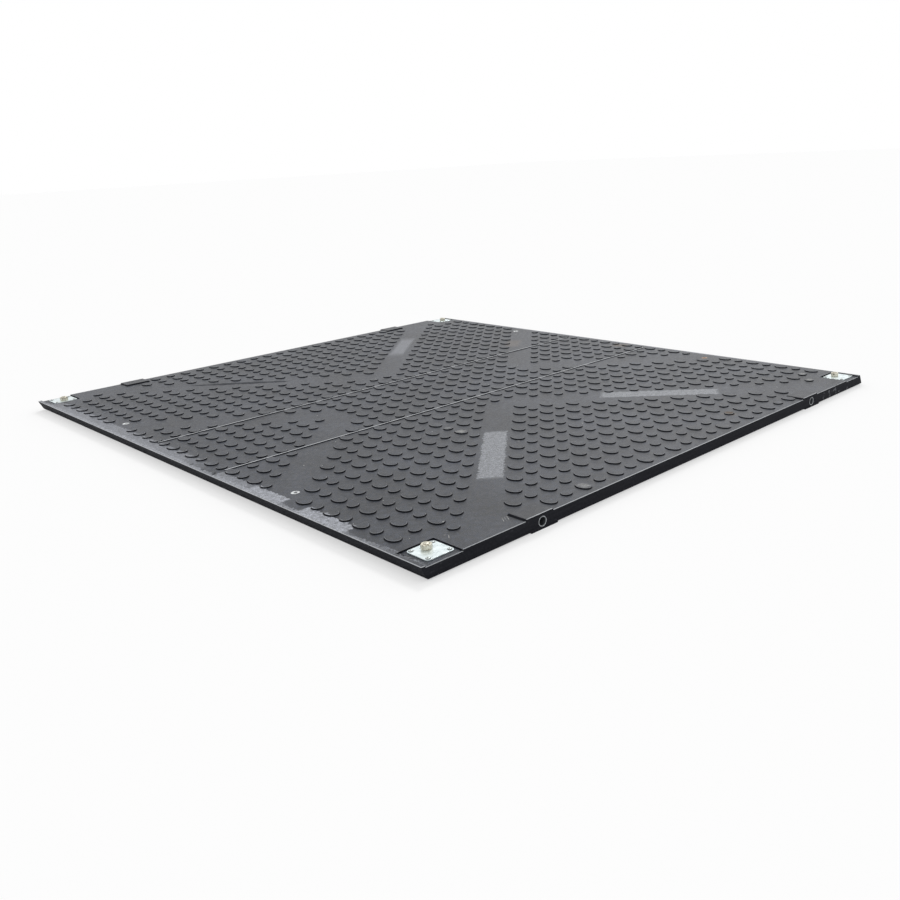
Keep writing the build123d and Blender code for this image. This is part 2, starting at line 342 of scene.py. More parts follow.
# Plain underside
near = [(-HALF_W + LAP_RUN, 0)]
for pad in (-SLEEVE_X + LAP_RUN / 2, SLEEVE_X + LAP_RUN / 2):
    near += [(pad - PAD_HALF, 0), (pad - PAD_HALF, PAD_DEPTH)]
    near += [(pad + PAD_HALF, PAD_DEPTH), (pad + PAD_HALF, 0)]
near += [(HALF_W, 0)]
under_outline = mirrored(np.array(near) - (0, HALF_L))
sheet.append((at_height(under_outline, BOTTOM), flat_triangles([under_outline])))

sheet_shade = np.zeros(sum(len(places) for places, _ in sheet))
sheet_shade[: stud_shade.size * len(stud_faces)] = np.tile(stud_shade.reshape(-1), len(stud_faces))
sheet_mesh = solid_mesh("moulded_sheet", sheet, painted_shade=sheet_shade)

# The outer arrises get a small round: each edge of the short faces' outline, told by the places of
# its ends to a hundredth of a millimetre, and the four edges that run from one short face to the other
SAME_PLACE = 1e-6
places = np.empty(len(sheet_mesh.vertices) * 3)
sheet_mesh.vertices.foreach_get("co", places)
pairs = np.empty(len(sheet_mesh.edges) * 2, int)
sheet_mesh.edges.foreach_get("vertices", pairs)
edge_ends = places.reshape(-1, 3)[pairs.reshape(-1, 2)]
on_short = (abs(abs(edge_ends[..., 1]) - HALF_L) < SAME_PLACE).all(1)
crossing = abs(edge_ends[:, 0, 1] - edge_ends[:, 1, 1]) > 2 * HALF_L - SAME_PLACE
corners = [tuple(corner) for corner in np.round(section * 1e5).astype(int).tolist()]
outline = {frozenset(ends) for ends in zip(corners, corners[1:] + corners[:1])}
flat_ends = np.round(edge_ends[..., [0, 2]] * 1e5).astype(int).tolist()
on_outline = np.array([frozenset(map(tuple, ends)) in outline for ends in flat_ends])
bevel = sheet_mesh.attributes.new("bevel_weight_edge", "FLOAT", "EDGE")
bevel.data.foreach_set("value", (on_outline & on_short | crossing).astype(float))


def linear(hex_colour):
    """An sRGB hex colour as linear RGBA: each channel c becomes ((c + 0.055) / 1.055) to the 2.4."""
    channels = np.array([int(hex_colour[i : i + 2], 16) for i in (1, 3, 5)]) / 255
    low = channels / 12.92
    high = ((channels + 0.055) / 1.055) ** 2.4
    return (*np.where(channels > 0.04045, high, low).tolist(), 1.0)


def add_node(tree, kind, inputs=(), stops=(), **settings):
    """Adds a node with its settings, and a ramp's stops as pairs of position and colour. An input
    is a value, or a node or one of its outputs to link, where a node means its first output."""
    node = tree.nodes.new("ShaderNode" + kind)
    for key, value in settings.items():
        setattr(node, key, value)
    for number, (position, colour) in enumerate(stops):
        elements = node.color_ramp.elements
        element = elements[number] if number < len(elements) else elements.new(position)
        element.position = position
        element.color = colour
    for key, value in dict(inputs).items():
        if isinstance(value, bpy.types.Node):
            value = value.outputs[0]
        if isinstance(value, bpy.types.NodeSocket):
            tree.links.new(value, node.inputs[key])
        else:
            node.inputs[key].default_value = value
    return node


def new_material(name, constants):
    """A material of that name with a Principled shader, and its node tree, shader and place."""
    material = bpy.data.materials.new(name)
    material.use_nodes = True
    tree = material.node_tree
    tree.nodes.clear()
    shader = add_node(tree, "BsdfPrincipled", constants)
    add_node(tree, "OutputMaterial", {"Surface": shader})
    place = add_node(tree, "TexCoord").outputs["Object"]
    return material, tree, shader, place


def patch_mask(tree, place, centre, half, turn, feather):
    """1 inside a turned rectangle and 0 outside it, from the larger of its two scaled distances,
    with a soft outline as wide as feather times its half size."""
    pose = {1: (*centre, TOP), 2: (0.0, 0.0, math.radians(turn)), 3: (*half, 1.0)}
    local = add_node(tree, "Mapping", {0: place, **pose}, vector_type="TEXTURE")
    reach = add_node(tree, "VectorMath", {0: local}, operation="ABSOLUTE")
    x, y, _ = add_node(tree, "SeparateXYZ", {0: reach}).outputs
    reach = add_node(tree, "Math", {0: x, 1: y}, operation="MAXIMUM")
    fall = {"From Min": 1.0, "From Max": 1.0 - feather, "To Min": 0.0, "To Max": 1.0}
    return add_node(tree, "MapRange", {"Value": reach, **fall})


def laid_over(tree, colour, paint, mask, strength):
    """A paint over a colour: the mask, from 0 to 1, times the strength is the paint's share."""
    share = add_node(tree, "Math", {0: mask, 1: strength}, operation="MULTIPLY")
    return add_node(tree, "Mix", {0: share, 6: colour, 7: paint}, data_type="RGBA").outputs[2]


# Recycled black polyethylene, as pressed: a mid-grey dusty top, because the rough, walked-on face scatters
# the sky, with broad blotches, fine grit, pale arrises that are partly worn and partly a painted highlight,
# painted shade at the feet of the studs, seams and pads, and rubbed-in chalky dirt.
TOP_DARK = linear("#13161c")
TOP_MID = linear("#232832")
TOP_PALE = linear("#3b404b")
# The pale edge colour is partly wear and partly a painted highlight on the outer arris, the studs' cap edges
# and the seam crests
EDGE_WEAR_AND_HIGHLIGHT = linear("#c2c5c9")
SCRAPED = linear("#7c7f85")
RUBBED = linear("#92959d")
SMEAR = linear("#0c0c0e")
FLECK = linear("#d8d7d2")
CLAY = linear("#6a5c4e")
# SIDE_BLACK is also laid on the tread as painted shade, at the feet of the studs, the seam ridges and the
# lifting pads
SIDE_BLACK = linear("#141519")

# Real widths of the patches in each pattern. The press leaves a grain of about a millimetre, which
# is too fine to show here, so the grit is drawn nearly 4 mm wide.
BLOTCH = 0.2857
DUST = 0.02632
MOTTLE = 0.015385
TEAR = 0.0125
GRIT = 0.003846
RAGGED = 0.034
FINE_MARK = 0.002

top_material, tree, shader, place = new_material(
    "worn_black_polyethylene_tread", {"Roughness": 0.4, "IOR": 1.5, "Specular IOR Level": 0.33}
)
blotch = add_node(tree, "TexNoise", {"Vector": place, "Scale": 1 / BLOTCH, "Detail": 4.0, "Roughness": 0.6})
dust = add_node(tree, "TexNoise", {"Vector": place, "Scale": 1 / DUST, "Detail": 6.0, "Roughness": 0.65})
grit = add_node(tree, "TexNoise", {"Vector": place, "Scale": 1 / GRIT, "Detail": 3.0, "Roughness": 0.7})
mottle = add_node(tree, "TexNoise", {"Vector": place, "Scale": 1 / MOTTLE, "Detail": 5.0, "Roughness": 0.75})
tone = 0.0
for pattern, share in ((blotch, 0.30), (dust, 0.35), (grit, 0.35)):
    tone = add_node(tree, "Math", {0: pattern, 1: share, 2: tone}, operation="MULTIPLY_ADD")
colour = add_node(
    tree, "ValToRGB", {0: tone}, stops=((0.40, TOP_DARK), (0.50, TOP_MID), (0.62, TOP_PALE))
).outputs[0]

# The outlines of broad marks are torn, by shaking the place they are looked up at
tear = add_node(tree, "TexNoise", {"Vector": place, "Scale": 1 / TEAR, "Detail": 4.0})
tear = add_node(
    tree, "VectorMath", {0: tear.outputs["Color"], 1: (0.5, 0.5, 0.5)}, operation="SUBTRACT"
)
shaken = add_node(
    tree, "VectorMath", {0: tear, 1: (RAGGED, RAGGED, 0.0), 2: place}, operation="MULTIPLY_ADD"
)

# Places on the tread where it is scraped pale, rubbed, smeared, nicked or scratched: paint, centre,
# half size, turn, strength, softness of the outline
MARKS = (
    (SCRAPED, (-0.500, -0.938), (0.277, 0.047), 45.4, 0.95, 0.08),
    (SCRAPED, (0.500, -0.928), (0.266, 0.045), 130.5, 0.95, 0.08),
    (RUBBED, (0.505, 0.950), (0.265, 0.046), 44.0, 0.45, 0.4),
    (SMEAR, (-0.540, 0.985), (0.200, 0.030), 132.0, 0.6, 0.7),
    (RUBBED, (-1.241, -0.985), (0.027, 0.135), 0.0, 0.95, 0.05),
    (RUBBED, (-1.241, -0.632), (0.027, 0.113), 0.0, 0.95, 0.05),
    (RUBBED, (-1.243, -0.400), (0.027, 0.118), 0.0, 0.55, 0.10),
    (RUBBED, (-1.237, 0.620), (0.034, 0.840), 0.0, 0.55, 0.25),
    (RUBBED, (-1.260, 0.100), (0.009, 1.590), 0.0, 0.60, 0.20),
    (RUBBED, (-1.246, -1.390), (0.003, 0.110), 0.0, 0.50, 0.30),
    (TOP_MID, (-1.250, -1.172), (0.009, 0.050), 8.0, 0.80, 0.30),
    (SMEAR, (-1.246, -0.274), (0.012, 0.004), 25.0, 0.90, 0.20),
    (SMEAR, (-1.256, -0.292), (0.004, 0.010), 10.0, 0.90, 0.20),
    (SMEAR, (-1.253, -0.201), (0.006, 0.003), 40.0, 0.80, 0.20),
    (SMEAR, (-1.246, -0.105), (0.008, 0.003), -30.0, 0.80, 0.20),
    (SMEAR, (-1.257, -1.374), (0.004, 0.009), 0.0, 0.90, 0.20),
    (SMEAR, (-1.244, -1.383), (0.003, 0.008), 20.0, 0.90, 0.20),
    (FLECK, (-0.908, -1.431), (0.0170, 0.0010), 59.0, 0.35, 0.30),
    (FLECK, (-0.899, -1.432), (0.0170, 0.0009), 59.0, 0.25, 0.30),
    (FLECK, (-0.889, -1.432), (0.0160, 0.0011), 60.0, 0.35, 0.30),
    (FLECK, (-1.089, -1.397), (0.0130, 0.0012), 54.0, 0.40, 0.30),
    (FLECK, (-1.092, -1.376), (0.0020, 0.0020), 0.0, 0.60, 0.30),
    (FLECK, (-0.400, -0.640), (0.0200, 0.0220), 10.0, 0.30, 0.70),
    (FLECK, (-0.400, -0.560), (0.0150, 0.0150), 30.0, 0.20, 0.80),
    (FLECK, (-0.344, -0.909), (0.0140, 0.0070), 40.0, 0.20, 0.80),
    (FLECK, (-0.560, -1.440), (0.0200, 0.0260), 0.0, 0.16, 0.50),
    (FLECK, (1.120, -1.280), (0.0170, 0.0170), 0.0, 0.22, 0.60),
    (FLECK, (1.040, -1.360), (0.0170, 0.0170), 0.0, 0.22, 0.60),
    (RUBBED, (1.243, 0.100), (0.010, 1.380), 0.0, 0.60, 0.40),
    (CLAY, (0.400, -1.360), (0.0200, 0.0280), 0.0, 0.75, 0.40),
    (CLAY, (1.180, -0.130), (0.040, 0.055), 20.0, 0.50, 0.50),
    (CLAY, (0.905, 0.440), (0.110, 0.050), 40.0, 0.35, 0.50),
)
matt = 0.0
for paint, centre, half, turn, strength, softness in MARKS:
    looked_up = place if min(half) < FINE_MARK else shaken
    mask = patch_mask(tree, looked_up, centre, half, turn, softness)
    mask = add_node(tree, "Math", {0: mask, 1: strength}, operation="MULTIPLY")
    if paint in (SMEAR, CLAY):
        matt = add_node(tree, "Math", {0: mask, 1: matt}, operation="MAXIMUM")
    colour = add_node(tree, "Mix", {0: mask, 6: colour, 7: paint}, data_type="RGBA").outputs[2]

# The grit and the mottle make every tone on the face darker and paler
GRIT_CONTRAST = {"From Min": 0.34, "From Max": 0.66, "To Min": 0.55, "To Max": 1.45}
MOTTLE_CONTRAST = {"From Min": 0.34, "From Max": 0.66, "To Min": 0.50, "To Max": 1.50}
grain = add_node(tree, "MapRange", {"Value": grit, **GRIT_CONTRAST})
streak = add_node(tree, "MapRange", {"Value": mottle, **MOTTLE_CONTRAST})
grain = add_node(tree, "Math", {0: grain, 1: streak}, operation="MULTIPLY")
colour = add_node(tree, "VectorMath", {0: colour, 3: grain}, operation="SCALE")

# Pale grit trodden into the face: cells 33 mm wide, of which one in fourteen holds a 4 mm fleck
FLECK_CELL = 0.03333
BARE_CELLS = 0.93
FLECK_REACH = 0.065
cell = add_node(tree, "TexVoronoi", {"Vector": place, "Scale": 1 / FLECK_CELL})
kept = add_node(tree, "SeparateColor", {0: cell.outputs["Color"]})
kept = add_node(tree, "Math", {0: kept, 1: BARE_CELLS}, operation="GREATER_THAN")
small = add_node(tree, "Math", {0: cell.outputs["Distance"], 1: FLECK_REACH}, operation="LESS_THAN")
fleck = add_node(tree, "Math", {0: kept, 1: small}, operation="MULTIPLY")
colour = laid_over(tree, colour, FLECK, fleck, strength=0.8)

# Painted shade along the feet of the seam ridges and of the lifting pads, on the flat face only: a dark band
# laid on in side black
FOOT_SHADE_WIDTH = 0.004
FLAT_SLACK = 0.0003
x, y, z = add_node(tree, "SeparateXYZ", {0: place}).outputs
flat = add_node(tree, "Math", {0: z, 1: TOP + FLAT_SLACK}, operation="LESS_THAN")
from_middle = add_node(tree, "Math", {0: y}, operation="ABSOLUTE")
seam_foot_shade = add_node(
    tree, "Math", {0: from_middle, 1: SEAM_Y, 2: SEAM_FOOT + FOOT_SHADE_WIDTH}, operation="COMPARE"
)
within = add_node(tree, "Math", {0: x}, operation="ABSOLUTE")
within = add_node(tree, "Math", {0: within, 1: HALF_W - SEAM_INSET}, operation="LESS_THAN")
seam_foot_shade = add_node(tree, "Math", {0: seam_foot_shade, 1: within}, operation="MULTIPLY")
folded = add_node(tree, "VectorMath", {0: place, 1: (LAP_RUN / 2, 0.0, 0.0)}, operation="ADD")
folded = add_node(tree, "VectorMath", {0: folded}, operation="ABSOLUTE")
pad_middle = (SLEEVE_X, HALF_L - PAD_DEPTH / 2)
pad_reach = (PAD_HALF + FOOT_SHADE_WIDTH, PAD_DEPTH / 2 + FOOT_SHADE_WIDTH)
pad_foot_shade = patch_mask(tree, folded, pad_middle, pad_reach, turn=0.0, feather=0.02)
foot_shade = add_node(tree, "Math", {0: seam_foot_shade, 1: pad_foot_shade}, operation="MAXIMUM")
foot_shade = add_node(tree, "Math", {0: foot_shade, 1: flat}, operation="MULTIPLY")
colour = laid_over(tree, colour, SIDE_BLACK, foot_shade, strength=0.8)

# The pads' tops are a little darker than the face round them
PAD_SLACK = 0.0005
pad_top = add_node(tree, "Math", {0: z, 1: TOP + PAD_RISE - PAD_SLACK}, operation="GREATER_THAN")
colour = laid_over(tree, colour, SIDE_BLACK, pad_top, strength=0.45)

# A pale line on the slope round each stud's cap and on the seam crests, told by their height: partly wear,
# and partly a painted highlight where these edges catch the light
CAP_WEAR_AND_HIGHLIGHT_DROP = 0.0004
CAP_WEAR_AND_HIGHLIGHT_REACH = 0.00035
CREST_WEAR_AND_HIGHLIGHT_REACH = 0.0002
edge_of_cap = add_node(
    tree, "Math", {0: z, 1: TOP + STUD_H - CAP_WEAR_AND_HIGHLIGHT_DROP, 2: CAP_WEAR_AND_HIGHLIGHT_REACH}, operation="COMPARE"
)
crest = add_node(tree, "Math", {0: z, 1: TOP + SEAM_H, 2: CREST_WEAR_AND_HIGHLIGHT_REACH}, operation="COMPARE")
wear_and_highlight = add_node(tree, "Math", {0: edge_of_cap, 1: crest}, operation="MAXIMUM")
colour = laid_over(tree, colour, EDGE_WEAR_AND_HIGHLIGHT, wear_and_highlight, strength=0.9)

# A pale line along the outer arris, by how near the face's outline is: partly rubbed, and partly a painted
# highlight where the rounded arris catches the light
RIM_WEAR_AND_HIGHLIGHT = 0.004
across = add_node(tree, "Math", {0: x, 1: LAP_RUN / 2}, operation="ADD")
across = add_node(tree, "Math", {0: across}, operation="ABSOLUTE")
across = add_node(tree, "Math", {0: across, 1: HALF_W - LAP_RUN / 2 - RIM_WEAR_AND_HIGHLIGHT}, operation="SUBTRACT")
along = add_node(tree, "Math", {0: y}, operation="ABSOLUTE")
along = add_node(tree, "Math", {0: along, 1: HALF_L - RIM_WEAR_AND_HIGHLIGHT}, operation="SUBTRACT")
rim = add_node(tree, "Math", {0: across, 1: along}, operation="MAXIMUM")
rim = add_node(tree, "Math", {0: rim, 1: 0.0}, operation="GREATER_THAN")
colour = laid_over(tree, colour, EDGE_WEAR_AND_HIGHLIGHT, rim, strength=0.75)

# Painted shade in the corner at each stud's foot and on the low edge of its cap, laid on as side black. It
# is matt, as the smears and the clay are, and elsewhere the sheen goes by the mottle.
MATT = 0.95
SHADE_SPREAD = {"From Min": 0.0, "From Max": 0.6, "To Min": 0.0, "To Max": 0.95}
SHEEN = {"From Min": 0.3, "From Max": 0.7, "To Min": 0.30, "To Max": 0.52}
painted_shade = add_node(tree, "Attribute", attribute_name="painted_shade").outputs["Fac"]
painted_shade = add_node(tree, "MapRange", {"Value": painted_shade, **SHADE_SPREAD})
colour = add_node(tree, "Mix", {0: painted_shade, 6: colour, 7: SIDE_BLACK}, data_type="RGBA").outputs[2]
tree.links.new(colour, shader.inputs["Base Color"])
rough = add_node(tree, "MapRange", {"Value": mottle, **SHEEN})
matt = add_node(tree, "Math", {0: matt, 1: painted_shade}, operation="MAXIMUM")
matt = add_node(tree, "Math", {0: matt, 1: MATT}, operation="MULTIPLY")
rough = add_node(tree, "Math", {0: rough, 1: matt}, operation="MAXIMUM")
tree.links.new(rough.outputs[0], shader.inputs["Roughness"])
relief = add_node(tree, "Bump", {"Strength": 0.7, "Distance": 0.0010, "Height": grit})
relief = add_node(tree, "Bump", {"Strength": 0.3, "Distance": 0.002, "Height": dust, "Normal": relief})
tree.links.new(relief.outputs[0], shader.inputs["Normal"])

# The same polyethylene on its upright faces, cleaner, dull and near black: a darker copy of the tread with
# little reflection, as a painted shade for faces that stood in shade, with level drag lines 3 mm apart,
# specks of 8 mm and a few pale scuffs.
LINE_STRETCH = (6.0, 6.0, 320.0)
SPECK = 0.008333
SCUFFED_ABOVE = 0.41
side_material, tree, shader, place = new_material(
    "black_polyethylene_edge", {"Roughness": 0.6, "IOR": 1.5, "Specular IOR Level": 0.06}
)
stretched = add_node(tree, "Mapping", {0: place, 3: LINE_STRETCH})
drag = add_node(tree, "TexNoise", {"Vector": stretched, "Scale": 1.0, "Detail": 4.0})
speck = add_node(tree, "TexNoise", {"Vector": place, "Scale": 1 / SPECK, "Detail": 4.0, "Roughness": 0.7})
tone = add_node(tree, "Math", {0: drag, 1: speck}, operation="MULTIPLY")
colour = add_node(
    tree, "ValToRGB", {0: tone}, stops=((0.15, linear("#17181d")), (0.45, linear("#2a2b30")))
)
scuff = add_node(tree, "Math", {0: tone, 1: SCUFFED_ABOVE}, operation="GREATER_THAN")
colour = laid_over(tree, colour, linear("#5c5e64"), scuff, strength=0.6)

# Where the near edge has been knocked, beside its right corner, pale chips
KNOCKED_X = 1.02
KNOCKED_HALF = 0.12
CHIP = 0.013333
CHIPPED_ABOVE = 0.63
x, _, _ = add_node(tree, "SeparateXYZ", {0: place}).outputs
knocked = add_node(tree, "Math", {0: x, 1: KNOCKED_X, 2: KNOCKED_HALF}, operation="COMPARE")
chips = add_node(tree, "TexNoise", {"Vector": place, "Scale": 1 / CHIP, "Detail": 3.0})
chips = add_node(tree, "Math", {0: chips, 1: CHIPPED_ABOVE}, operation="GREATER_THAN")
colour = laid_over(tree, colour, linear("#5f6165"), knocked, strength=chips)
tree.links.new(colour, shader.inputs["Base Color"])
relief = add_node(tree, "Bump", {"Strength": 0.3, "Distance": 0.0006, "Height": tone})
tree.links.new(relief.outputs[0], shader.inputs["Normal"])

# The same polyethylene where something was dragged over it: burnished matt, darker than the face,
# in streaks 11 mm wide
STREAK = 0.01111
drag_material, tree, shader, place = new_material(
    "dragged_black_polyethylene", {"Roughness": 0.8, "IOR": 1.5, "Specular IOR Level": 0.08}
)
streak = add_node(tree, "TexNoise", {"Vector": place, "Scale": 1 / STREAK, "Detail": 4.0, "Roughness": 0.7})
colour = add_node(
    tree, "ValToRGB", {0: streak}, stops=((0.36, linear("#2c2d31")), (0.64, linear("#55575c")))
)
tree.links.new(colour.outputs[0], shader.inputs["Base Color"])

moulded_sheet = add_piece(
    sheet_mesh, [top_material, side_material, drag_material], ["mat_panel"]
)
# Upright faces, the stud walls among them, take the darker edge material as a painted shade, and the drag
# mark's face takes its own
UPRIGHT_BELOW = 0.6
slopes = np.empty(len(sheet_mesh.polygons) * 3)
sheet_mesh.polygons.foreach_get("normal", slopes)
upright_face = abs(slopes.reshape(-1, 3)[:, 2]) < UPRIGHT_BELOW
corner_counts = np.empty(len(sheet_mesh.polygons), int)
sheet_mesh.polygons.foreach_get("loop_total", corner_counts)
dragged_face = corner_counts == len(drag_loop)
sheet_mesh.polygons.foreach_set("material_index", upright_face + 2 * dragged_face)
rounded = moulded_sheet.modifiers.new("rounded_arris", "BEVEL")
rounded.width = ARRIS_ROUND
rounded.segments = 2
rounded.limit_method = "WEIGHT"
rounded.harden_normals = True


# Lifting sleeves
# Four short steel tubes, pressed into blind bores in the two short edges, that take a lifting bar.
# Each stops flush with the edge, and its mouth is slightly rounded and rubbed bright.

SLEEVE_OUT_R = 0.017
SLEEVE_IN_R = 0.014
# Wall of a tube, from its mouth inwards and back: radius, depth, and the painted shade there
TUBE = (
    (SLEEVE_OUT_R, 0.0006, 1.0),
    (SLEEVE_OUT_R - 0.0004, 0.0001, 0.3),
    (SLEEVE_OUT_R - 0.0010, 0.0, 0.0),
    (SLEEVE_IN_R + 0.0009, 0.0, 0.0),
    (SLEEVE_IN_R + 0.0003, 0.0003, 0.4),
    (SLEEVE_IN_R, 0.0010, 1.0),
    (SLEEVE_IN_R, SLEEVE_L, 1.0),
    (SLEEVE_OUT_R, SLEEVE_L, 1.0),
)


def turned_piece(profile, points, closed):
    """Rings stacked along an axis. A row of the profile opens with a ring's radius and height, each
    one number or one for every angle: x is radius times cosine and y radius times sine. A closed
    piece joins its last ring to its first, and an open one gets a flat cap at each end."""
    radii = np.array([np.broadcast_to(row[0], points) for row in profile])
    heights = np.array([np.broadcast_to(row[1], points) for row in profile])
    angle = np.arange(points) * 2 * np.pi / points
    vertices = np.stack([radii * np.cos(angle), radii * np.sin(angle), heights], -1).reshape(-1, 3)
    numbers = np.arange(radii.size).reshape(radii.shape)
    faces = [band(numbers[ring], numbers[ring + 1]) for ring in range(len(profile) - 1)]
    if closed:
        faces.append(band(numbers[-1], numbers[0]))
    else:
        faces += [numbers[:1], numbers[-1:]]
    return [(vertices, rows) for rows in faces]


def profile_shade(profile, points, patches):
    """The third value of each row of a profile, once for every vertex of the patches made from it."""
    return np.tile(np.repeat([row[2] for row in profile], points), len(patches))


def set_down(patches, turn, place):
    """Patches turned by a 3 by 3 matrix and moved to a place."""
    return [(vertices @ np.array(turn).T + place, rows) for vertices, rows in patches]


def filmed_metal(name, constants, film, relief, tones, shade_paint=None):
    """Plated or bare metal under a thin film. One noise picks the film's tone, from dark to pale, and its
    relief. The shade paint, where it is given, covers the metal as far as the mesh's painted shade says: a
    painted shade in hollows and joins."""
    material, tree, shader, place = new_material(name, constants)
    film = add_node(tree, "TexNoise", {"Vector": place, **film})
    stops = [(position, linear(tone)) for position, tone in tones]
    colour = add_node(tree, "ValToRGB", {0: film}, stops).outputs[0]
    if shade_paint:
        painted_shade = add_node(tree, "Attribute", attribute_name="painted_shade").outputs["Fac"]
        shade_mix = {0: painted_shade, 6: colour, 7: linear(shade_paint)}
        colour = add_node(tree, "Mix", shade_mix, data_type="RGBA").outputs[2]
    tree.links.new(colour, shader.inputs["Base Color"])
    bump = add_node(tree, "Bump", {"Height": film, **relief})
    tree.links.new(bump.outputs[0], shader.inputs["Normal"])
    return material


# Galvanised steel tube: grey zinc in patches of 6 mm, with a painted shade inside the bore and where its
# mouth meets the sheet
sleeve_material = filmed_metal(
    "galvanised_steel_tube",
    {"Metallic": 0.7, "Roughness": 0.42},
    {"Scale": 1 / 0.00625, "Detail": 5.0},
    {"Strength": 0.2, "Distance": 0.0003},
    ((0.35, "#8a8e92"), (0.65, "#c9cdd0")),
    shade_paint="#5a5d61",
)
for side, end in ((-1, "near"), (1, "far")):
    inward = [(1, 0, 0), (0, 0, -side), (0, 1, 0)]
    tubes = []
    for x in (-SLEEVE_X, SLEEVE_X):
        tube = turned_piece(TUBE, SLEEVE_POINTS, True)
        tubes += set_down(tube, inward, (x, side * HALF_L, BORE_Z))
    shade_paint = profile_shade(TUBE, SLEEVE_POINTS, tubes)
    mesh = solid_mesh(f"sleeve_pair_{end}", tubes, painted_shade=shade_paint)
    add_piece(mesh, [sleeve_material], [f"lifting_sleeves_{end}"])


# Ring inserts
# Four flat steel rings, pressed flush into blind seats in the margin of the tread near the seams.
# Feet and wheels keep three of them bright, and the one at the near right has rusted.

RING_OUT_R = 0.0149
RING_BORE_R = 0.006
RING_SUNK = 0.00005
RING_SECTION = (
    (RING_OUT_R, TOP - RING_T),
    (RING_OUT_R, TOP - 0.0005),
    (RING_OUT_R - 0.0005, TOP - RING_SUNK),
    (RING_BORE_R + 0.0008, TOP - RING_SUNK),
    (RING_BORE_R, TOP - 0.0007),
    (RING_BORE_R, TOP - RING_T),
)
CORNERS = {"near_left": (-1, -1), "near_right": (1, -1), "far_left": (-1, 1), "far_right": (1, 1)}


def ring_finish(name, dirty, dull, clean):
    """Bare steel with a film in patches of 7 mm, of three tones."""
    return filmed_metal(
        name,
        {"Metallic": 0.75, "Roughness": 0.45},
        {"Scale": 1 / 0.007143, "Detail": 5.0},
        {"Strength": 0.25, "Distance": 0.0002},
        ((0.34, dirty), (0.46, dull), (0.62, clean)),
    )


bright_ring = ring_finish("rubbed_steel_ring", "#8b8d90", "#c6c9ca", "#e4e6e6")
rusty_ring = ring_finish("rusted_steel_ring", "#54402f", "#83664f", "#a98f78")
for corner, (side_x, side_y) in CORNERS.items():
    ring = turned_piece(RING_SECTION, RING_POINTS, True)
    ring = set_down(ring, np.eye(3), (side_x * RING_X, side_y * RING_Y, 0))
    finish = rusty_ring if corner == "near_right" else bright_ring
    mesh = solid_mesh(f"flush_ring_{corner}", ring)
    add_piece(mesh, [finish], [f"ring_insert_{corner}"])


# Corner plates
# Four square plates of 4 mm sheet steel, sheared, with rounded corners and a softened edge, zinc
# plated and laid in the corner pockets. Each carries one joining bolt and is held by four screws.

PLATE_X = 1.180
PLATE_Y = 1.426
PLATE_HALF = 0.050
PLATE_CORNER = 0.012
PLATE_T = 0.004
PLATE_EDGE = 0.0007
FLOOR_Z = TOP - POCKET_DEPTH
PLATE_TOP = FLOOR_Z + PLATE_T
SCREW_OFF = 0.0385
SCREW_HOLE_R = 0.0042
SCREW_HOLE_POINTS = 16
BOLT_Y = 1.410
BOLT_HOLE_R = 0.0102
BOLT_HOLE_POINTS = 32


def rounded_square(half, corner, points=10):
    """Four quarter turns about centres set in from the corners, joined by straight sides."""
    angle = (np.arange(4)[:, None] + np.arange(points) / (points - 1)) * np.pi / 2
    centre = np.array([(1, 1), (-1, 1), (-1, -1), (1, -1)]) * (half - corner)
    turn = corner * np.stack([np.cos(angle), np.sin(angle)], -1)
    return (centre[:, None, :] + turn).reshape(-1, 2)


# Zinc plating: bright, faintly blue-green, in clouds of 22 mm where it has begun to bloom, with thin
# slanting drag marks
CLOUD = 0.02222
BRUSH_TURN = 0.6
BRUSH_STRETCH = (60.0, 900.0, 60.0)
SCREW_SHADE_SPREAD = {"From Min": 0.0095, "From Max": 0.0070, "To Min": 0.0, "To Max": 0.75}
CLOUD_SHEEN = {"From Min": 0.3, "From Max": 0.7, "To Min": 0.24, "To Max": 0.36}
zinc_material, tree, shader, place = new_material(
    "zinc_plated_steel_sheet", {"Metallic": 0.7, "Roughness": 0.36}
)
cloud = add_node(tree, "TexNoise", {"Vector": place, "Scale": 1 / CLOUD, "Detail": 5.0, "Roughness": 0.6})
brushed = add_node(tree, "Mapping", {0: place, 2: (0.0, 0.0, BRUSH_TURN), 3: BRUSH_STRETCH})
brushed = add_node(tree, "TexNoise", {"Vector": brushed, "Scale": 1.0, "Detail": 2.0})
tone = 0.0
for pattern, share in ((cloud, 0.7), (brushed, 0.3)):
    tone = add_node(tree, "Math", {0: pattern, 1: share, 2: tone}, operation="MULTIPLY_ADD")
plated = add_node(
    tree, "ValToRGB", {0: tone}, stops=((0.36, linear("#cad6d8")), (0.62, linear("#ebf4f5")))
)

# A painted shade round the screw heads, a dark ring on the plate beside each head: all sixteen at once, by
# folding the place into one quarter of the sheet and then into one quarter of its plate
plate_centre = (PLATE_X, PLATE_Y, PLATE_TOP)
screw_place = (SCREW_OFF, SCREW_OFF, 0.0)
folded = add_node(tree, "VectorMath", {0: place}, operation="ABSOLUTE")
folded = add_node(tree, "VectorMath", {0: folded, 1: plate_centre}, operation="SUBTRACT")
folded = add_node(tree, "VectorMath", {0: folded}, operation="ABSOLUTE")
distance = add_node(tree, "VectorMath", {0: folded, 1: screw_place}, operation="DISTANCE")
screw_ring_shade = add_node(tree, "MapRange", {"Value": distance.outputs["Value"], **SCREW_SHADE_SPREAD})
ring_shaded = {0: screw_ring_shade, 6: plated, 7: linear("#3a3a38")}
colour = add_node(tree, "Mix", ring_shaded, data_type="RGBA").outputs[2]
tree.links.new(colour, shader.inputs["Base Color"])
rough = add_node(tree, "MapRange", {"Value": cloud, **CLOUD_SHEEN})
tree.links.new(rough.outputs[0], shader.inputs["Roughness"])
relief = add_node(tree, "Bump", {"Strength": 0.12, "Distance": 0.0002, "Height": tone})
tree.links.new(relief.outputs[0], shader.inputs["Normal"])

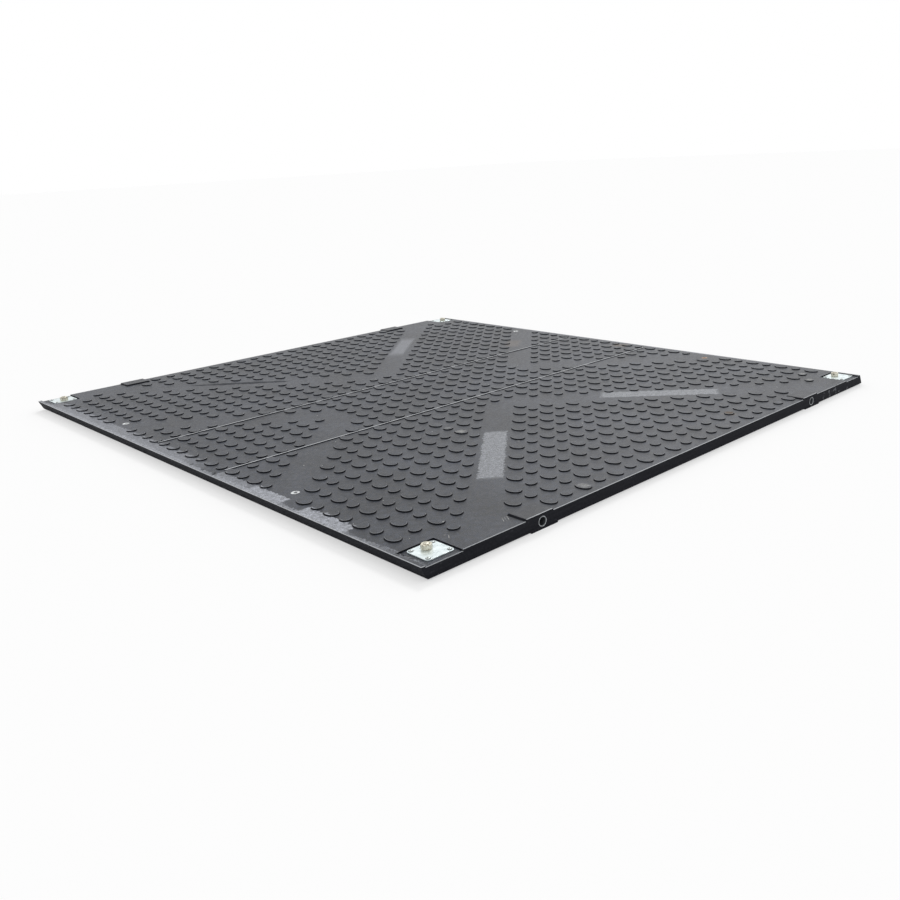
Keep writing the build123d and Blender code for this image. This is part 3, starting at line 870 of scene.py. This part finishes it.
# Outline of a plate at each level: its edge is softened in two steps at the top and the bottom
EDGE_STEP = 0.3 * PLATE_EDGE
full = rounded_square(PLATE_HALF, PLATE_CORNER)
half_in = rounded_square(PLATE_HALF - EDGE_STEP, PLATE_CORNER - EDGE_STEP)
drawn_in = rounded_square(PLATE_HALF - PLATE_EDGE, PLATE_CORNER - PLATE_EDGE)
levels = [(drawn_in, FLOOR_Z), (half_in, FLOOR_Z + EDGE_STEP), (full, FLOOR_Z + PLATE_EDGE)]
levels += [(full, PLATE_TOP - PLATE_EDGE), (half_in, PLATE_TOP - EDGE_STEP), (drawn_in, PLATE_TOP)]
screw_places = [(x, y) for x in (-SCREW_OFF, SCREW_OFF) for y in (-SCREW_OFF, SCREW_OFF)]
for corner, (side_x, side_y) in CORNERS.items():
    holes = [circle(SCREW_HOLE_R, SCREW_HOLE_POINTS) + place for place in screw_places]
    holes.append(circle(BOLT_HOLE_R, BOLT_HOLE_POINTS) + (0, side_y * (BOLT_Y - PLATE_Y)))
    plate = []
    for (lower, low_z), (upper, high_z) in zip(levels[:-1], levels[1:]):
        around = np.arange(len(full))
        wall = np.concatenate([at_height(lower, low_z), at_height(upper, high_z)])
        plate.append((wall, band(around, around + len(full))))
    loops = [drawn_in] + holes
    for z in (FLOOR_Z, PLATE_TOP):
        plate.append((at_height(np.concatenate(loops), z), flat_triangles(loops)))
    for hole in holes:
        around = np.arange(len(hole))
        wall = np.concatenate([at_height(hole, FLOOR_Z), at_height(hole, PLATE_TOP)])
        plate.append((wall, band(around, around + len(hole))))
    plate = set_down(plate, np.eye(3), (side_x * PLATE_X, side_y * PLATE_Y, 0))
    mesh = solid_mesh(f"zinc_plate_{corner}", plate, smooth_to=12)
    add_piece(mesh, [zinc_material], [f"corner_plate_{corner}"])


# Plate screws
# Four low button-head screws to each plate, cut for a hexagon key and driven into the sheet: turned steel,
# zinc plated, with a painted shade round the foot of the head and in the socket.

HEAD_R = 0.0065
HEAD_H = 0.003
SHANK_R = 0.0040
SHANK_L = 0.020
SOCKET_REACH = 0.0020
SOCKET_DEPTH = 0.0016
SCREW_POINTS = 24


def hexagon_reach(apothem, points):
    """Distance from centre to side at each angle: the apothem over the cosine of the angle from
    the middle of the nearest side."""
    angle = np.arange(points) * 2 * np.pi / points
    return apothem / np.cos((angle + np.pi / 6) % (np.pi / 3) - np.pi / 6)


# Turned steel under a thin zinc plate: pale grey with a faint green cast, in patches of 3 mm
screw_material = filmed_metal(
    "zinc_plated_screw_steel",
    {"Metallic": 0.7, "Roughness": 0.38},
    {"Scale": 1 / 0.002857, "Detail": 4.0},
    {"Strength": 0.15, "Distance": 0.0002},
    ((0.35, "#a9b1b0"), (0.60, "#e2e8e6")),
    shade_paint="#2b2a28",
)

# A screw from its point to its domed head and down into the socket: radius, height above the plate, and the
# painted shade there
socket = hexagon_reach(SOCKET_REACH, SCREW_POINTS)
SCREW = (
    (0.0005, -SHANK_L, 0.0),
    (SHANK_R, -SHANK_L + 0.004, 0.0),
    (SHANK_R, 0.0, 0.0),
    (0.0062, 0.0, 1.0),
    (HEAD_R, 0.0006, 0.9),
    (0.0063, 0.0012, 0.6),
    (0.0055, 0.0021, 0.1),
    (0.0042, 0.0027, 0.0),
    (0.0030, HEAD_H, 0.0),
    (socket, HEAD_H, 0.7),
    (socket * 0.94, HEAD_H - SOCKET_DEPTH, 1.0),
    (0.0004, HEAD_H - SOCKET_DEPTH - 0.0003, 1.0),
)
for corner, (side_x, side_y) in CORNERS.items():
    screws = []
    for x, y in screw_places:
        screw = turned_piece(SCREW, SCREW_POINTS, False)
        screws += set_down(screw, np.eye(3), (side_x * PLATE_X + x, side_y * PLATE_Y + y, PLATE_TOP))
    shade_paint = profile_shade(SCREW, SCREW_POINTS, screws)
    mesh = solid_mesh(f"button_screws_{corner}", screws, smooth_to=30, painted_shade=shade_paint)
    add_piece(mesh, [screw_material], [f"plate_screws_{corner}"])


# Joining bolts
# A hexagon bolt stands head down under each plate, with its head held in the sheet, so that its
# thread stands up for the bracket that joins two mats. It is forged and thread rolled, then plated.

BOLT_R = 0.010
BOLT_HEAD_REACH = 0.015
BOLT_HEAD_H = 0.0125
BOLT_END = 0.064
THREAD_PITCH = 0.0025
THREAD_DEPTH = 0.0014
THREAD_STEPS = 5
BOLT_POINTS = 48


def yellow_zinc(name, patch, deep, mid, pale):
    """Passivated zinc: cream to straw, and browner in the dips of a noise with patches of one size."""
    return filmed_metal(
        name,
        {"Metallic": 0.55, "Roughness": 0.34},
        {"Scale": 1 / patch, "Detail": 5.0, "Roughness": 0.6},
        {"Strength": 0.2, "Distance": 0.0003},
        ((0.34, deep), (0.47, mid), (0.62, pale)),
    )


# The thread's radius falls and rises once in each pitch, in a wave that winds round the bolt
bolt_material = yellow_zinc("yellow_zinc_bolt", 0.003846, "#6d6657", "#b9b4a1", "#d8d5c6")
bolt_angle = np.arange(BOLT_POINTS) * 2 * np.pi / BOLT_POINTS
thread_z = np.arange(FLOOR_Z + 0.002, BOLT_END - 0.0012, THREAD_PITCH / THREAD_STEPS)
turns = thread_z[:, None] / THREAD_PITCH - bolt_angle / (2 * np.pi)
thread = BOLT_R - THREAD_DEPTH * (1 - abs(2 * (turns % 1) - 1))
hexagon = hexagon_reach(BOLT_HEAD_REACH, BOLT_POINTS)
head_low = FLOOR_Z - BOLT_HEAD_H
BOLT = (
    (0.92 * BOLT_HEAD_REACH, head_low),
    (hexagon, head_low + 0.001),
    (hexagon, FLOOR_Z),
    (BOLT_R, FLOOR_Z),
    *zip(thread, thread_z),
    (np.minimum(thread[-1], 0.0092), BOLT_END - 0.0006),
    (0.0084, BOLT_END),
    (0.0005, BOLT_END),
)
for corner, (side_x, side_y) in CORNERS.items():
    bolt = turned_piece(BOLT, BOLT_POINTS, False)
    bolt = set_down(bolt, np.eye(3), (side_x * PLATE_X, side_y * BOLT_Y, 0))
    mesh = solid_mesh(f"threaded_bolt_{corner}", bolt, smooth_to=50)
    add_piece(mesh, [bolt_material], [f"joining_bolt_{corner}"])


# Joining nuts
# One heavy hexagon nut on each bolt, run down on the plate: forged, chamfered top and bottom so that
# its corners end in curves, and yellow passivated.

NUT_REACH = 0.015
NUT_H = 0.016
NUT_BORE_R = 0.0101
NUT_CHAMFER = 30
nut_material = yellow_zinc("yellow_zinc_nut", 0.005263, "#8e8673", "#d6d1bf", "#ece8da")
nut_side = hexagon_reach(NUT_REACH, BOLT_POINTS)
chamfer_start = 0.95 * NUT_REACH
chamfer_drop = (nut_side - chamfer_start) * math.tan(math.radians(NUT_CHAMFER))
NUT = (
    (0.0105, 0),
    (chamfer_start, 0),
    (nut_side, chamfer_drop),
    (nut_side, NUT_H - chamfer_drop),
    (chamfer_start, NUT_H),
    (0.0115, NUT_H),
    (NUT_BORE_R, NUT_H - 0.0012),
    (NUT_BORE_R, 0.0006),
)
for corner, (side_x, side_y) in CORNERS.items():
    spin = math.radians(37 + 31 * (side_x + 2 * side_y))
    turned_round = [(math.cos(spin), -math.sin(spin), 0), (math.sin(spin), math.cos(spin), 0), (0, 0, 1)]
    nut = turned_piece(NUT, BOLT_POINTS, True)
    nut = set_down(nut, turned_round, (side_x * PLATE_X, side_y * BOLT_Y, PLATE_TOP))
    mesh = solid_mesh(f"hexagon_nut_{corner}", nut, smooth_to=28)
    add_piece(mesh, [nut_material], [f"joining_nut_{corner}"])


# Floor, light and camera
# A pale floor that keeps the mat's shadow, a sky that is brighter overhead than at its rim, a broad
# lamp high behind the mat, and the camera at the photograph's place.

FLOOR_REACH = 60.0
floor_mesh = bpy.data.meshes.new("pale_floor")
floor_plan = FLOOR_REACH * rectangle(-1, 1, -1, 1)
floor_mesh.from_pydata(at_height(floor_plan, 0.0).tolist(), [], [(0, 1, 2, 3)])
floor_object = bpy.data.objects.new("pale_floor", floor_mesh)
bpy.context.scene.collection.objects.link(floor_object)
floor_material = bpy.data.materials.new("pale_studio_floor")
floor_material.use_nodes = True
tree = floor_material.node_tree
tree.nodes.clear()
paper = add_node(tree, "BsdfDiffuse", {"Color": linear("#fdfdfd")})
white = add_node(tree, "Emission", {"Color": linear("#ffffff"), "Strength": 1.0})
ray = add_node(tree, "LightPath")
share = add_node(tree, "Math", {0: ray.outputs["Is Camera Ray"], 1: 0.5}, operation="MULTIPLY")
paper = add_node(tree, "MixShader", {0: share, 1: paper, 2: white})
add_node(tree, "OutputMaterial", {"Surface": paper})
floor_mesh.materials.append(floor_material)

SKY_RIM = 0.38
SKY_RISE = 0.66
world = bpy.data.worlds.new("soft_studio_sky")
bpy.context.scene.world = world
world.use_nodes = True
tree = world.node_tree
tree.nodes.clear()
direction = add_node(tree, "TexCoord").outputs["Generated"]
_, _, rise = add_node(tree, "SeparateXYZ", {0: direction}).outputs
above = add_node(tree, "Math", {0: rise, 1: 0.0}, operation="MAXIMUM")
power = add_node(tree, "Math", {0: above, 1: SKY_RISE, 2: SKY_RIM}, operation="MULTIPLY_ADD")
lit = add_node(tree, "Background", {"Color": linear("#ffffff"), "Strength": power})
seen = add_node(tree, "Background", {"Color": linear("#ffffff"), "Strength": 1.0})
ray = add_node(tree, "LightPath")
direct = ray.outputs["Is Camera Ray"]
for kind in ("Is Glossy Ray", "Is Transmission Ray"):
    direct = add_node(tree, "Math", {0: direct, 1: ray.outputs[kind]}, operation="MAXIMUM")
sky = add_node(tree, "MixShader", {0: direct, 1: lit, 2: seen})
add_node(tree, "OutputWorld", {"Surface": sky})

LAMP_STRENGTH = 0.72
LAMP_SPREAD = 14
LAMP_TILT = (-46, 0, -54)
lamp = bpy.data.lights.new("soft_lamp", "SUN")
lamp.energy = LAMP_STRENGTH
lamp.angle = math.radians(LAMP_SPREAD)
lamp_object = bpy.data.objects.new("soft_lamp", lamp)
lamp_object.rotation_euler = [math.radians(angle) for angle in LAMP_TILT]
bpy.context.scene.collection.objects.link(lamp_object)

# The camera looks along a line from its place to the target, and is rolled a little about it
VIEW_TARGET = np.array([-0.3125, -1.1427, 0.047])
VIEW_AZIMUTH = math.radians(-45.879)
VIEW_ELEVATION = math.radians(18.408)
VIEW_DISTANCE = 3.3135
VIEW_ROLL = math.radians(2.833)
LENS_MM = 36.304
SIDEWAYS_SHIFT = -0.1321
CLIP_END = 500
out = np.array([math.sin(VIEW_AZIMUTH), -math.cos(VIEW_AZIMUTH), math.tan(VIEW_ELEVATION)])
out = out / np.linalg.norm(out)
level_right = np.cross(-out, (0, 0, 1))
level_right = level_right / np.linalg.norm(level_right)
level_down = np.cross(-out, level_right)
pose = np.eye(4)
pose[:3, 0] = math.cos(VIEW_ROLL) * level_right + math.sin(VIEW_ROLL) * level_down
pose[:3, 1] = math.sin(VIEW_ROLL) * level_right - math.cos(VIEW_ROLL) * level_down
pose[:3, 2] = out
pose[:3, 3] = VIEW_TARGET + VIEW_DISTANCE * out
camera = bpy.data.cameras.new("photograph_view")
camera.lens = LENS_MM
camera.shift_x = SIDEWAYS_SHIFT
camera.clip_end = CLIP_END
camera_object = bpy.data.objects.new("photograph_view", camera)
camera_object.matrix_world = Matrix(pose.tolist())
bpy.context.scene.collection.objects.link(camera_object)
bpy.context.scene.camera = camera_object
bpy.context.scene.view_settings.view_transform = "Standard"
